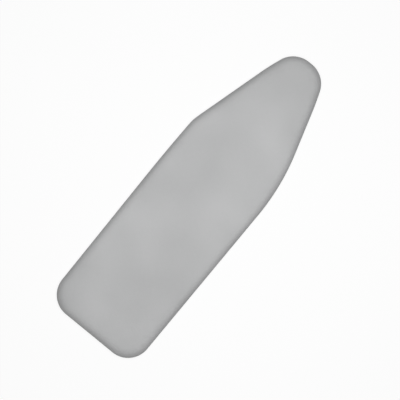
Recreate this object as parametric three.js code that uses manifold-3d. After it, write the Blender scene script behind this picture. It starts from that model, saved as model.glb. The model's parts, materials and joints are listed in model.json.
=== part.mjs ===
// A fitted ironing board cover in millimetres, lying as it is worn: ironing face up (+Z), nose to +X.
import * as THREE from 'three';
import { mergeVertices } from 'three/addons/utils/BufferGeometryUtils.js';
import Module from 'manifold-3d';

const wasm = await Module();
wasm.setup();

// Outline of the fitted cover, seen from above: the left side is +Y
const COVER_LENGTH = 1210;
const HALF_WIDTH = 194.8;
const TAIL_NARROWING = 5;
const TAIL_RADIUS = 86;
const BELLY_FROM_SHOULDER = 161;
const BELLY_RADIUS = 6000;
const LEFT_SHOULDER_FROM_NOSE = 409;
const LEFT_SHOULDER_NARROWING = 3.3;
const LEFT_SHOULDER_RADIUS = 163;
const RIGHT_SHOULDER_FROM_NOSE = 397;
const RIGHT_SHOULDER_RADIUS = 823;
const TAPER_FROM_NOSE = 104;
const TAPER_HALF_WIDTH = 105.6;
const TAPER_RADIUS = 800;
const NOSE_HALF_WIDTH = 67.4;
const NOSE_RADIUS = 88;
const LEAST_RADIUS = 6;

// Layers and heights, from the floor up
const BINDING_HEIGHT = 7;
const BOARD_UNDERSIDE = 10.5;
const BOARD_DEPTH = 16;
const FELT_THICKNESS = 3;
const FOAM_THICKNESS = 5;
const CLOTH_THICKNESS = 1;
const FIT_GAP = 0.3;

// Cross-section of the cloth: crown, rolled edge, side and the turned-under part
const CROWN_INSET = 55;
const CROWN_DROP = 1.6;
const ROLL_WIDTH = 16;
const SIDE_HEIGHT = 18;
const TURN_WIDTH = 9;
const FELT_INSET = 7;
const HEM_INSET = 57;
const GATHER_LIFT = 1.4;
const ROLL_ANGLES = [90, 60, 30, 0, -45, -90];

// Binding tape and the cord that it carries
const TAPE_THICKNESS = 0.8;
const LEAF_WIDTH = 4;
const TUBE_WIDTH = 10;
const TUBE_CORNER = 1.6;
const TUBE_WALL = 1.6;
const MOUTH_WIDTH = 50;
const CORD_DIAMETER = 3;
const CORD_BEND = 12;
const CORD_SIDES = 8;

// Cord lock and the bell on the cord ends
const LOCK_RADIUS = 4.75;
const LOCK_BORE = 3.1;
const LOCK_END_WALL = 1.6;
const LOCK_RIM = 4.5;
const LOCK_CHAMFER = 1.1;
const LOCK_FLOOR_GAP = 0.4;
const LOCK_FROM_BEND = 3;
const LOCK_SLIDE = 24;
const GRIP_GROOVES = 3;
const GRIP_PITCH = 1.4;
const GRIP_DEPTH = 0.4;
const PLUNGER_TRAVEL = 3;
const PLUNGER_FOOT = 2.4;
const BUTTON_RADIUS = 4.2;
const BUTTON_LENGTH = 4;
const BUTTON_DOME = 2.2;
const SPRING_ROOM = 5;
const SPRING_WIRE = 0.6;
const SPRING_RADIUS = 2.1;
const SPRING_TURNS = 3.5;
const BELL_LENGTH = 14;
const BELL_POCKET = 9;
const BELL_WALL = 1.8;
const BELL_ROUND = 1.2;
const BELL_CLEARANCE = 2;

// Tension straps, their hooks and the windows in the binding where they reach the cord
const TAIL_STRAP_FROM_TAIL = 225;
const NOSE_STRAP_FROM_SHOULDER = 30;
const STRAP_WIDTH = 25;
const STRAP_THICKNESS = 1.6;
const LOOP_CLEARANCE = 0.4;
const LOOP_WALL = 1.5;
const WINDOW_LENGTH = 36;
const WINDOW_WEB = 0.4;
const HOOK_TONGUE_WIDTH = 16;
const HOOK_TONGUE_WALL = 1.5;
const HOOK_LIP = 2.2;
const HOOK_PLATE_START = 5;
const HOOK_PLATE_END = 12;
const HOOK_THICKNESS = 3.2;
const HOOK_CHEEK = 3;
const HOOK_BAR_REACH = 19;
const HOOK_BAR_DIAMETER = 3;

// Blank care label, sewn into the binding of the tail
const LABEL_LENGTH = 42;
const LABEL_WIDTH = 28;
const LABEL_THICKNESS = 0.6;
const LABEL_FROM_SIDE = 108;

// Faces per round stretch
const ROUND_STEPS = 28;
const LOOP_STEPS = 8;
const DOME_STEPS = 5;
const BELL_STEPS = 3;
const SPRING_STEPS = 8;
const SPRING_SIDES = 5;

// Heights and places that follow from the sizes above
const TAIL_X = -COVER_LENGTH / 2;
const NOSE_X = COVER_LENGTH / 2;
const HEM_MIDDLE = BINDING_HEIGHT / 2;
const FELT_BOTTOM = BOARD_UNDERSIDE + BOARD_DEPTH;
const FELT_TOP = FELT_BOTTOM + FELT_THICKNESS;
const FOAM_BOTTOM = FELT_TOP + FIT_GAP;
const FOAM_TOP = FOAM_BOTTOM + FOAM_THICKNESS;
const COVER_TOP = FOAM_TOP + FIT_GAP + CLOTH_THICKNESS;
const ROLL_HEIGHT = COVER_TOP - CROWN_DROP - SIDE_HEIGHT;
const TURN_HEIGHT = SIDE_HEIGHT - BOARD_UNDERSIDE + FIT_GAP + CLOTH_THICKNESS;
const TUBE_START = HEM_INSET + LEAF_WIDTH;
const TUBE_END = TUBE_START + TUBE_WIDTH;
const CORD_INSET = TUBE_START + TUBE_WIDTH / 2;
const CORD_RADIUS = CORD_DIAMETER / 2;
const CORD_OFFSET = CORD_RADIUS + FIT_GAP / 2;
const HEM_X = TAIL_X + CORD_INSET;
const LOCK_HEIGHT = LOCK_RADIUS + LOCK_FLOOR_GAP;
const LOCK_X = HEM_X + CORD_BEND + LOCK_FROM_BEND + LOCK_RADIUS;
const BELL_X = LOCK_X + LOCK_RADIUS + LOCK_SLIDE + BELL_CLEARANCE;
const TAIL_HALF_WIDTH = HALF_WIDTH - TAIL_NARROWING;
const SIDES = { left: 1, right: -1 };

// Corners of the outline, counter-clockwise from the right end of the tail; runs are the steps before each
const rightShoulder = corner(NOSE_X - RIGHT_SHOULDER_FROM_NOSE, -HALF_WIDTH, RIGHT_SHOULDER_RADIUS,
  { steps: 4, run: 6 });
const leftShoulder = corner(NOSE_X - LEFT_SHOULDER_FROM_NOSE, HALF_WIDTH - LEFT_SHOULDER_NARROWING,
  LEFT_SHOULDER_RADIUS, { steps: 3, run: 3 });
const CORNERS = [
  corner(TAIL_X, -TAIL_HALF_WIDTH, TAIL_RADIUS, { steps: 6, run: 1, gathered: true }),
  rightShoulder,
  corner(NOSE_X - TAPER_FROM_NOSE, -TAPER_HALF_WIDTH, TAPER_RADIUS, { steps: 2, run: 2 }),
  corner(NOSE_X, -NOSE_HALF_WIDTH, NOSE_RADIUS, { steps: 5, run: 1, gathered: true }),
  corner(NOSE_X, NOSE_HALF_WIDTH, NOSE_RADIUS, { steps: 5, run: 1, gathered: true }),
  corner(NOSE_X - TAPER_FROM_NOSE, TAPER_HALF_WIDTH, TAPER_RADIUS, { steps: 2, run: 1 }),
  leftShoulder,
  corner(leftShoulder.place.x - BELLY_FROM_SHOULDER, HALF_WIDTH, BELLY_RADIUS, { steps: 2, run: 1 }),
  corner(TAIL_X, TAIL_HALF_WIDTH, TAIL_RADIUS, { steps: 6, run: 5, gathered: true }),
];

function corner(x, y, radius, how) {
  return { place: new THREE.Vector2(x, y), radius, ...how };
}

function leftOf(direction) {
  return new THREE.Vector2(-direction.y, direction.x);
}

function directionFrom(start, end) {
  return end.place.clone().sub(start.place).normalize();
}

// The rounded corner of the outline moved inward: its edges shift by the inset and its radius shrinks by it
function cornerArc(here, inset) {
  const index = CORNERS.indexOf(here);
  const before = directionFrom(CORNERS.at(index - 1), here);
  const after = directionFrom(here, CORNERS[(index + 1) % CORNERS.length]);
  const turn = Math.atan2(before.cross(after), before.dot(after));
  const side = Math.sign(turn);
  const radius = Math.max(here.radius - side * inset, LEAST_RADIUS);
  const bisector = leftOf(before).add(leftOf(after));
  const tip = here.place.clone().addScaledVector(bisector, 2 * inset / bisector.lengthSq());
  const start = tip.addScaledVector(before, -radius * Math.tan(Math.abs(turn) / 2));
  const centre = start.clone().addScaledVector(leftOf(before), side * radius);
  const points = [];
  for (let k = 0; k <= here.steps; k += 1) {
    points.push(start.clone().rotateAround(centre, turn * k / here.steps));
  }
  return points;
}

// The outline moved inward, from the right side of the cord's mouth round the nose to its left side
function ring(inset) {
  const points = [new THREE.Vector2(TAIL_X + inset, -MOUTH_WIDTH / 2)];
  CORNERS.forEach((here) => {
    const arc = cornerArc(here, inset);
    const last = points.at(-1);
    for (let k = 1; k < here.run; k += 1) {
      points.push(last.clone().lerp(arc[0], k / here.run));
    }
    points.push(...arc);
  });
  points.push(new THREE.Vector2(TAIL_X + inset, MOUTH_WIDTH / 2));
  return points;
}

// Which way each point of a ring is pushed by the gathers: up and down in turn round the tight corners
function gatherSigns() {
  const signs = [0];
  CORNERS.forEach((here) => {
    for (let k = 1; k < here.run; k += 1) {
      signs.push(0);
    }
    for (let k = 0; k <= here.steps; k += 1) {
      signs.push(here.gathered ? 1 - 2 * (k % 2) : 0);
    }
  });
  signs.push(0);
  return signs;
}

const GATHER_SIGNS = gatherSigns();

function ringAt(inset, height, gather = 0) {
  return ring(inset).map(({ x, y }, i) => new THREE.Vector3(x, y, height + gather * GATHER_SIGNS[i]));
}

// Where the cord lies across the hem on one of the two sides, at a place along the cover
function cordSide(x, side) {
  const points = ring(CORD_INSET).filter((point) => point.y * side > MOUTH_WIDTH / 2);
  for (let i = 1; i < points.length; i += 1) {
    const [a, b] = [points[i - 1], points[i]];
    if ((a.x - x) * (b.x - x) <= 0) {
      return THREE.MathUtils.lerp(a.y, b.y, (x - a.x) / (b.x - a.x));
    }
  }
  throw new Error(`no cord beside ${x}`);
}

// Closed surfaces from rows of points
function band(first, second, closed) {
  const triangles = [];
  const count = closed ? first.length : first.length - 1;
  for (let i = 0; i < count; i += 1) {
    const next = (i + 1) % first.length;
    triangles.push([first[i], first[next], second[next]], [first[i], second[next], second[i]]);
  }
  return triangles;
}

function cap(points, flat) {
  return THREE.ShapeUtils.triangulateShape(flat, []).map((face) => face.map((i) => points[i]));
}

function flatCap(points) {
  return cap(points, points.map((point) => new THREE.Vector2(point.x, point.y)));
}

function signedVolume(triangles) {
  return triangles.reduce((sum, [a, b, c]) => sum + a.dot(b.clone().cross(c)) / 6, 0);
}

function closedSolid(triangles) {
  const outward = signedVolume(triangles) > 0;
  const ordered = triangles.map(([a, b, c]) => (outward ? [a, b, c] : [a, c, b]));
  const geometry = new THREE.BufferGeometry().setFromPoints(ordered.flat());
  return mergeVertices(geometry);
}

// A layer bounded by rows of rings: the first and last rows are filled in flat
function layered(rows) {
  const triangles = rows.slice(1).flatMap((row, i) => band(rows[i], row, true));
  triangles.push(...flatCap(rows[0]).map(([a, b, c]) => [a, c, b]));
  triangles.push(...flatCap(rows.at(-1)));
  return closedSolid(triangles);
}

// A tube of round section along points, with the direction that its first side faces at each point
function tube(points, facings, radius, sides) {
  const rows = points.map((point, i) => {
    const ahead = points[Math.min(i + 1, points.length - 1)];
    const behind = points[Math.max(i - 1, 0)];
    const along = ahead.clone().sub(behind).normalize();
    const up = along.clone().cross(facings[i]).normalize();
    const across = up.clone().cross(along);
    return Array.from({ length: sides }, (_, k) => {
      const angle = 2 * Math.PI * k / sides;
      return point.clone().addScaledVector(across, radius * Math.cos(angle))
        .addScaledVector(up, radius * Math.sin(angle));
    });
  });
  const triangles = rows.slice(1).flatMap((row, i) => band(rows[i], row, true));
  const circle = rows[0].map((_, k) => {
    const angle = 2 * Math.PI * k / sides;
    return new THREE.Vector2(Math.cos(angle), Math.sin(angle));
  });
  triangles.push(...cap(rows[0], circle).map(([a, b, c]) => [a, c, b]));
  triangles.push(...cap(rows.at(-1), circle));
  return closedSolid(triangles);
}

// A flat shape drawn across the cover and up, made wide along the cover about its middle
function wideAlongCover(shape, width, rounding = { bevelEnabled: false }) {
  const geometry = new THREE.ExtrudeGeometry(shape, { depth: width, curveSegments: LOOP_STEPS, ...rounding });
  geometry.translate(0, 0, -width / 2);
  geometry.applyMatrix4(new THREE.Matrix4().set(0, 0, 1, 0, 1, 0, 0, 0, 0, 1, 0, 0, 0, 0, 0, 1));
  return geometry;
}

function block(low, high) {
  const size = high.clone().sub(low);
  const middle = low.clone().add(high).multiplyScalar(0.5);
  return new THREE.BoxGeometry(size.x, size.y, size.z).translate(middle.x, middle.y, middle.z);
}

// A slot with round ends, from one place to another across the cover
function slotShape(low, high, radius) {
  const shape = new THREE.Shape();
  shape.absarc(high - radius, 0, radius, -Math.PI / 2, Math.PI / 2);
  shape.absarc(low + radius, 0, radius, Math.PI / 2, Math.PI * 1.5);
  return shape;
}

// Adding and cutting of closed solids
function toManifold(geometry) {
  const plain = geometry.clone();
  plain.deleteAttribute('normal');
  plain.deleteAttribute('uv');
  const merged = mergeVertices(plain);
  return new wasm.Manifold(new wasm.Mesh({
    numProp: 3,
    vertProperties: new Float32Array(merged.attributes.position.array),
    triVerts: new Uint32Array(merged.index.array),
  }));
}

function fromManifold(solid) {
  const mesh = solid.getMesh();
  const geometry = new THREE.BufferGeometry();
  geometry.setAttribute('position', new THREE.BufferAttribute(new Float32Array(mesh.vertProperties), 3));
  geometry.setIndex(new THREE.BufferAttribute(new Uint32Array(mesh.triVerts), 1));
  return geometry;
}

function cut(geometry, tools) {
  const cutTool = (solid, tool) => solid.subtract(toManifold(tool));
  return fromManifold(tools.reduce(cutTool, toManifold(geometry)));
}

function join(pieces) {
  return fromManifold(pieces.map(toManifold).reduce((whole, piece) => whole.add(piece)));
}

// Point of the rolled section: angle 90 is the top of the roll, 0 the side, -90 the turn under
function rollPoint(angle, depth) {
  const radians = THREE.MathUtils.degToRad(angle);
  const width = angle > 0 ? ROLL_WIDTH : TURN_WIDTH;
  const height = angle > 0 ? ROLL_HEIGHT : TURN_HEIGHT;
  const inset = width - (width - depth) * Math.cos(radians);
  return [inset, SIDE_HEIGHT + (height - depth) * Math.sin(radians)];
}

function rolledSection(depth) {
  return ROLL_ANGLES.map((angle) => rollPoint(angle, depth));
}

function clothRows(depth) {
  const hemHeight = HEM_MIDDLE - CLOTH_THICKNESS / 2 + depth;
  const rolled = rolledSection(depth);
  const [turnInset, turnHeight] = rolled.at(-1);
  return [
    ringAt(CROWN_INSET, COVER_TOP - depth),
    ...rolled.map(([inset, height]) => ringAt(inset, height)),
    ringAt((turnInset + HEM_INSET) / 2, (turnHeight + hemHeight) / 2, GATHER_LIFT),
    ringAt(HEM_INSET - CLOTH_THICKNESS, hemHeight),
    ringAt(TUBE_START - FIT_GAP, hemHeight),
  ];
}

function topCover() {
  return layered([...clothRows(0), ...clothRows(CLOTH_THICKNESS).reverse()]);
}

// The foam fills the roll down to its own flat underside
function foamPad() {
  const section = rolledSection(CLOTH_THICKNESS + FIT_GAP);
  const above = section.filter(([, height]) => height > FOAM_BOTTOM);
  const [lastInset, lastHeight] = above.at(-1);
  const [nextInset, nextHeight] = section[above.length];
  const share = (lastHeight - FOAM_BOTTOM) / (lastHeight - nextHeight);
  const edge = THREE.MathUtils.lerp(lastInset, nextInset, share);
  return layered([
    ringAt(edge, FOAM_BOTTOM),
    ...above.reverse().map(([inset, height]) => ringAt(inset, height)),
    ringAt(CROWN_INSET, FOAM_TOP),
  ]);
}

function feltPad() {
  return layered([ringAt(FELT_INSET, FELT_BOTTOM), ringAt(FELT_INSET, FELT_TOP)]);
}

// Section of the folded tape: two leaves hold the edge of the cloth, the tube behind them holds the cord
function bindingSection() {
  const slot = CLOTH_THICKNESS / 2 + FIT_GAP;
  const leaf = slot + TAPE_THICKNESS;
  const half = HEM_MIDDLE;
  const lower = [
    [HEM_INSET, -slot], [HEM_INSET, -leaf], [TUBE_START, -leaf],
    [TUBE_START + TUBE_CORNER, -half], [TUBE_END - TUBE_CORNER, -half], [TUBE_END, TUBE_CORNER - half],
  ];
  const upper = lower.map(([inset, height]) => [inset, -height]).reverse();
  return [...lower, ...upper, [TUBE_START, slot], [TUBE_START, -slot]];
}

function channelSection() {
  const reach = TUBE_WIDTH / 2 - TUBE_WALL;
  const half = HEM_MIDDLE - TUBE_WALL;
  const shoulder = reach - half;
  return [
    [CORD_INSET - reach, 0], [CORD_INSET - shoulder, -half], [CORD_INSET + shoulder, -half],
    [CORD_INSET + reach, 0], [CORD_INSET + shoulder, half], [CORD_INSET - shoulder, half],
  ];
}

function sectionRows(section) {
  return section.map(([inset, height]) => ringAt(inset, HEM_MIDDLE + height));
}

function hemBinding() {
  const outer = bindingSection();
  const inner = channelSection();
  const outerRows = sectionRows(outer);
  const innerRows = sectionRows(inner).reverse();
  const walls = [outerRows, innerRows].flatMap((rows) => (
    rows.flatMap((row, i) => band(row, rows[(i + 1) % rows.length], false))
  ));
  const toFlat = (section) => section.map(([inset, height]) => new THREE.Vector2(inset, height));
  const faces = THREE.ShapeUtils.triangulateShape(toFlat(outer), [toFlat([...inner].reverse())]);
  const endFaces = (end) => {
    const points = [...outerRows, ...innerRows].map((row) => row.at(end));
    return faces.map((face) => face.map((i) => points[i]));
  };
  const near = endFaces(0);
  const far = endFaces(-1).map(([a, b, c]) => [a, c, b]);
  return cut(closedSolid([...walls, ...near, ...far]), STRAPS.flatMap(windowCuts));
}

function windowCuts({ x }) {
  return Object.values(SIDES).map((side) => {
    const cord = cordSide(x, side);
    const outer = cord + side * (CORD_INSET - TUBE_START - WINDOW_WEB);
    const inner = cord - side * TUBE_WIDTH;
    const low = new THREE.Vector3(x - WINDOW_LENGTH / 2, Math.min(outer, inner), -TUBE_WALL);
    const high = new THREE.Vector3(x + WINDOW_LENGTH / 2, Math.max(outer, inner), BINDING_HEIGHT + TUBE_WALL);
    return block(low, high);
  });
}

// From the bell through the lock and round the bend to the mouth of the channel
function cordLead(side) {
  const end = BELL_X + BELL_POCKET - FIT_GAP;
  const points = [new THREE.Vector3(end, side * CORD_OFFSET, LOCK_HEIGHT)];
  const centre = new THREE.Vector2(HEM_X + CORD_BEND, side * (CORD_OFFSET + CORD_BEND));
  for (let k = 0; k <= LOOP_STEPS; k += 1) {
    const share = k / LOOP_STEPS;
    const angle = share * Math.PI / 2;
    points.push(new THREE.Vector3(
      centre.x - CORD_BEND * Math.sin(angle),
      centre.y - side * CORD_BEND * Math.cos(angle),
      THREE.MathUtils.lerp(LOCK_HEIGHT, HEM_MIDDLE, share),
    ));
  }
  return points;
}

function drawCord() {
  const round = ringAt(CORD_INSET, HEM_MIDDLE);
  const points = [...cordLead(SIDES.right), ...round, ...cordLead(SIDES.left).reverse()];
  const facings = points.map((_, i) => {
    const ahead = points[Math.min(i + 1, points.length - 1)];
    const along = ahead.clone().sub(points[Math.max(i - 1, 0)]);
    return new THREE.Vector3(-along.y, along.x, 0).normalize();
  });
  return tube(points, facings, CORD_RADIUS, CORD_SIDES);
}

// Places along the lock, whose own axis runs across the cover, counted from between the two cords
const SLOT_RADIUS = CORD_RADIUS + FIT_GAP;
const SLOT_HALF = CORD_OFFSET + SLOT_RADIUS;
const PLUNGER_START = -SLOT_HALF - PLUNGER_FOOT;
const BORE_START = PLUNGER_START - SPRING_ROOM;
const LOCK_TOP = SLOT_HALF + LOCK_RIM;
const BUTTON_START = LOCK_TOP + PLUNGER_TRAVEL + FIT_GAP;

function turned(profile) {
  const points = profile.map(([radius, place]) => new THREE.Vector2(radius, place));
  return new THREE.LatheGeometry(points, ROUND_STEPS);
}

function cordSlot(low, high) {
  return wideAlongCover(slotShape(low, high, SLOT_RADIUS), 4 * LOCK_RADIUS);
}

// Grooves round the closed end, for a finger and thumb
function gripProfile(start) {
  return Array.from({ length: GRIP_GROOVES }, (_, k) => {
    const place = start + k * GRIP_PITCH;
    return [
      [LOCK_RADIUS, place + GRIP_PITCH / 4], [LOCK_RADIUS - GRIP_DEPTH, place + GRIP_PITCH / 2],
      [LOCK_RADIUS - GRIP_DEPTH, place + 3 * GRIP_PITCH / 4], [LOCK_RADIUS, place + GRIP_PITCH],
    ];
  }).flat();
}

function lockBody() {
  const bottom = BORE_START - LOCK_END_WALL;
  const barrel = turned([
    [0, bottom], [LOCK_RADIUS - LOCK_CHAMFER, bottom], [LOCK_RADIUS, bottom + LOCK_CHAMFER],
    ...gripProfile(bottom + LOCK_CHAMFER),
    [LOCK_RADIUS, LOCK_TOP - LOCK_CHAMFER], [LOCK_RADIUS - LOCK_CHAMFER, LOCK_TOP],
    [LOCK_BORE, LOCK_TOP], [LOCK_BORE, BORE_START], [0, BORE_START],
  ]);
  return cut(barrel, [cordSlot(-SLOT_HALF - PLUNGER_TRAVEL, SLOT_HALF)]);
}

// The button's end is half an oval, from its rim to its middle
function buttonDome(rim) {
  return Array.from({ length: DOME_STEPS + 1 }, (_, k) => {
    const angle = Math.PI / 2 * k / DOME_STEPS;
    return [BUTTON_RADIUS * Math.cos(angle), rim + BUTTON_DOME * Math.sin(angle)];
  });
}

function lockPlunger() {
  const shank = LOCK_BORE - FIT_GAP;
  const button = turned([
    [0, PLUNGER_START], [shank, PLUNGER_START], [shank, BUTTON_START], [BUTTON_RADIUS, BUTTON_START],
    ...buttonDome(BUTTON_START + BUTTON_LENGTH - BUTTON_DOME),
  ]);
  return cut(button, [cordSlot(-SLOT_HALF, SLOT_HALF + PLUNGER_TRAVEL)]);
}

function lockSpring() {
  const first = BORE_START + FIT_GAP + SPRING_WIRE / 2;
  const last = PLUNGER_START - FIT_GAP - SPRING_WIRE / 2;
  const count = SPRING_TURNS * SPRING_STEPS;
  const facings = [];
  const points = [];
  for (let k = 0; k <= count; k += 1) {
    const angle = 2 * Math.PI * k / SPRING_STEPS;
    const facing = new THREE.Vector3(Math.cos(angle), 0, Math.sin(angle));
    const place = THREE.MathUtils.lerp(first, last, k / count);
    facings.push(facing);
    points.push(facing.clone().multiplyScalar(SPRING_RADIUS).setY(place));
  }
  printSpringGap(points);
  return tube(points, facings, SPRING_WIRE / 2, SPRING_SIDES);
}

// Least clear distance between one turn of the wire and the next
function printSpringGap(points) {
  const gaps = points.slice(SPRING_STEPS).map((point, i) => point.distanceTo(points[i]) - SPRING_WIRE);
  console.log(`least gap between spring turns ${Math.min(...gaps).toFixed(2)} mm`);
}

// A moulded oval with rounded ends and one pocket for both cords
function cordBell() {
  const radius = SLOT_RADIUS + BELL_WALL;
  const half = SLOT_HALF + BELL_WALL;
  const rounding = {
    bevelEnabled: true, bevelThickness: BELL_ROUND, bevelSize: BELL_ROUND, bevelOffset: -BELL_ROUND,
    bevelSegments: BELL_STEPS,
  };
  const shell = wideAlongCover(slotShape(-half, half, radius), BELL_LENGTH - 2 * BELL_ROUND, rounding);
  const pocket = wideAlongCover(slotShape(-SLOT_HALF, SLOT_HALF, SLOT_RADIUS), BELL_LENGTH);
  return cut(shell.translate(BELL_LENGTH / 2, 0, 0), [pocket.translate(BELL_POCKET - BELL_LENGTH / 2, 0, 0)]);
}

// Straps, counted from the tail: each turns on the left cord and is hooked to the right one
const FIRST_STRAP = TAIL_X + TAIL_STRAP_FROM_TAIL;
const RIGHT_SHOULDER_START = cornerArc(rightShoulder, CORD_INSET)[0].x;
const LEFT_SHOULDER_START = cornerArc(leftShoulder, CORD_INSET).at(-1).x;
const LAST_STRAP = Math.min(RIGHT_SHOULDER_START, LEFT_SHOULDER_START) - NOSE_STRAP_FROM_SHOULDER;
const STRAPS = [
  { name: 'tail', x: FIRST_STRAP },
  { name: 'mid', x: (FIRST_STRAP + LAST_STRAP) / 2 },
  { name: 'nose', x: LAST_STRAP },
];

// The strap's edge seen along the cover: a sewn loop at each end of a straight band
function tensionStrap({ x }) {
  const length = cordSide(x, SIDES.left) - cordSide(x, SIDES.right) - HOOK_BAR_REACH;
  const cordHole = CORD_RADIUS + LOOP_CLEARANCE;
  const barHole = HOOK_BAR_DIAMETER / 2 + LOOP_CLEARANCE;
  const cordLoop = cordHole + LOOP_WALL;
  const barLoop = barHole + LOOP_WALL;
  const cordAngle = Math.asin(STRAP_THICKNESS / 2 / cordLoop);
  const barAngle = Math.asin(STRAP_THICKNESS / 2 / barLoop);
  const shape = new THREE.Shape();
  shape.absarc(0, 0, cordLoop, Math.PI + cordAngle, 3 * Math.PI - cordAngle);
  shape.absarc(-length, 0, barLoop, barAngle, 2 * Math.PI - barAngle);
  shape.holes.push(new THREE.Path().absarc(0, 0, cordHole, 0, 2 * Math.PI, true));
  shape.holes.push(new THREE.Path().absarc(-length, 0, barHole, 0, 2 * Math.PI, true));
  return wideAlongCover(shape, STRAP_WIDTH);
}

// The tongue goes under the cord and up behind it; its mouth faces the board
function hookTongue() {
  const inner = CORD_RADIUS + LOOP_CLEARANCE;
  const outer = inner + HOOK_TONGUE_WALL;
  const half = HOOK_THICKNESS / 2;
  const shape = new THREE.Shape();
  shape.moveTo(HOOK_PLATE_END, half);
  shape.lineTo(inner, half);
  shape.absarc(0, 0, inner, 0, -Math.PI, true);
  shape.lineTo(-inner, HOOK_LIP);
  shape.lineTo(-outer, HOOK_LIP);
  shape.absarc(0, 0, outer, Math.PI, 1.5 * Math.PI);
  shape.lineTo(HOOK_PLATE_START, -half);
  shape.lineTo(HOOK_PLATE_END, -half);
  return wideAlongCover(shape, HOOK_TONGUE_WIDTH);
}

function strapHook() {
  const half = HOOK_THICKNESS / 2;
  const insideCheek = STRAP_WIDTH / 2 + FIT_GAP;
  const outsideCheek = insideCheek + HOOK_CHEEK;
  const barEnd = HOOK_BAR_REACH + HOOK_BAR_DIAMETER / 2;
  const plate = block(
    new THREE.Vector3(-outsideCheek, HOOK_PLATE_START, -half),
    new THREE.Vector3(outsideCheek, HOOK_PLATE_END, half),
  );
  const cheeks = Object.values(SIDES).map((side) => block(
    new THREE.Vector3(side > 0 ? insideCheek : -outsideCheek, HOOK_PLATE_START, -half),
    new THREE.Vector3(side > 0 ? outsideCheek : -insideCheek, barEnd, half),
  ));
  const bar = new THREE.CylinderGeometry(HOOK_BAR_DIAMETER / 2, HOOK_BAR_DIAMETER / 2,
    2 * insideCheek + HOOK_CHEEK, ROUND_STEPS);
  bar.rotateZ(Math.PI / 2).translate(0, HOOK_BAR_REACH, 0);
  return join([plate, ...cheeks, bar, hookTongue()]);
}

function careLabel() {
  const start = TAIL_X + TUBE_END + FIT_GAP;
  const middle = LABEL_FROM_SIDE - TAIL_HALF_WIDTH;
  return block(
    new THREE.Vector3(start, middle - LABEL_WIDTH / 2, HEM_MIDDLE - LABEL_THICKNESS / 2),
    new THREE.Vector3(start + LABEL_LENGTH, middle + LABEL_WIDTH / 2, HEM_MIDDLE + LABEL_THICKNESS / 2),
  );
}

// Materials
function material(color, roughness, metalness = 0) {
  return new THREE.MeshStandardMaterial({ color, roughness, metalness });
}

const METALLISED = material(0xb3b4b6, 0.5, 0.4);
const FOAM = material(0xe8e2cc, 0.95);
const FELT = material(0xd6d4cf, 1);
const TAPE = material(0x8e9194, 0.9);
const CORD = material(0xdfddd6, 0.85);
const DARK_PLASTIC = material(0x37393c, 0.45);
const STEEL = material(0xc3c4c6, 0.3, 1);
const ELASTIC = material(0xe9e7e1, 0.9);
const SATIN = material(0xf2f1ee, 0.6);

function piece(name, geometry, look) {
  const mesh = new THREE.Mesh(geometry, look);
  mesh.name = name;
  return mesh;
}

function cordLock() {
  const group = new THREE.Group();
  group.name = 'cord_lock';
  group.add(piece('cord_lock_body', lockBody(), DARK_PLASTIC));
  group.add(piece('cord_lock_plunger', lockPlunger(), DARK_PLASTIC));
  group.add(piece('cord_lock_spring', lockSpring(), STEEL));
  group.position.set(LOCK_X, 0, LOCK_HEIGHT);
  return group;
}

function strapAndHook(strap) {
  const band = piece(`tension_strap_${strap.name}`, tensionStrap(strap), ELASTIC);
  band.position.set(strap.x, cordSide(strap.x, SIDES.left), HEM_MIDDLE);
  const hook = piece(`strap_hook_${strap.name}`, strapHook(), DARK_PLASTIC);
  hook.position.set(strap.x, cordSide(strap.x, SIDES.right), HEM_MIDDLE);
  return [band, hook];
}

function cover() {
  const group = new THREE.Group();
  group.name = 'ironing_board_cover';
  group.add(piece('top_cover', topCover(), METALLISED));
  group.add(piece('foam_pad', foamPad(), FOAM));
  group.add(piece('felt_pad', feltPad(), FELT));
  group.add(piece('hem_binding', hemBinding(), TAPE));
  group.add(piece('draw_cord', drawCord(), CORD));
  group.add(cordLock());
  const bell = piece('cord_end', cordBell(), DARK_PLASTIC);
  bell.position.set(BELL_X, 0, LOCK_HEIGHT);
  group.add(bell);
  group.add(...STRAPS.flatMap(strapAndHook));
  group.add(piece('care_label', careLabel(), SATIN));
  return group;
}

export default cover();
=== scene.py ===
"""Looks of a fitted ironing board cover: cloth over pads, drawn in under the board by a hem cord."""
import json
import math
from collections import namedtuple

import bpy
import numpy as np
from mathutils import Matrix, Vector


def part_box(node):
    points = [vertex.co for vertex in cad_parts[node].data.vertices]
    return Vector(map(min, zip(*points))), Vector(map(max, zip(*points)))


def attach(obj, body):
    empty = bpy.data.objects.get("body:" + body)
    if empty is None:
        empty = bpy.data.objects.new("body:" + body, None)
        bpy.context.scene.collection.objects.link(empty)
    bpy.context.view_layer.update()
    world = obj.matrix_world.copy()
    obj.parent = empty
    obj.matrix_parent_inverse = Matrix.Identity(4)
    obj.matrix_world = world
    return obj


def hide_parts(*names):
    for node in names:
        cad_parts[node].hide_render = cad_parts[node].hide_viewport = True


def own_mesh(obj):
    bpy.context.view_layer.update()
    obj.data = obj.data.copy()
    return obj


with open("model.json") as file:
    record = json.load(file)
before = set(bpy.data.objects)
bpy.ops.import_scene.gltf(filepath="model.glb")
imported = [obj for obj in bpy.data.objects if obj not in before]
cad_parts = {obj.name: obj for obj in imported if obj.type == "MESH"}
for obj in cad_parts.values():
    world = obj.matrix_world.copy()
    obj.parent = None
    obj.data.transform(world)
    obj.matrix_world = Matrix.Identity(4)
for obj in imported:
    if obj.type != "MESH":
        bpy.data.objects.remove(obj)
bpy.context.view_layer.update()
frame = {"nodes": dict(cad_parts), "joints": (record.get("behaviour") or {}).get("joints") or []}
SCENE = bpy.context.scene
CHANCE = np.random.default_rng(seed=11)
MM = 0.001
TINY = 1e-6 * MM

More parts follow.
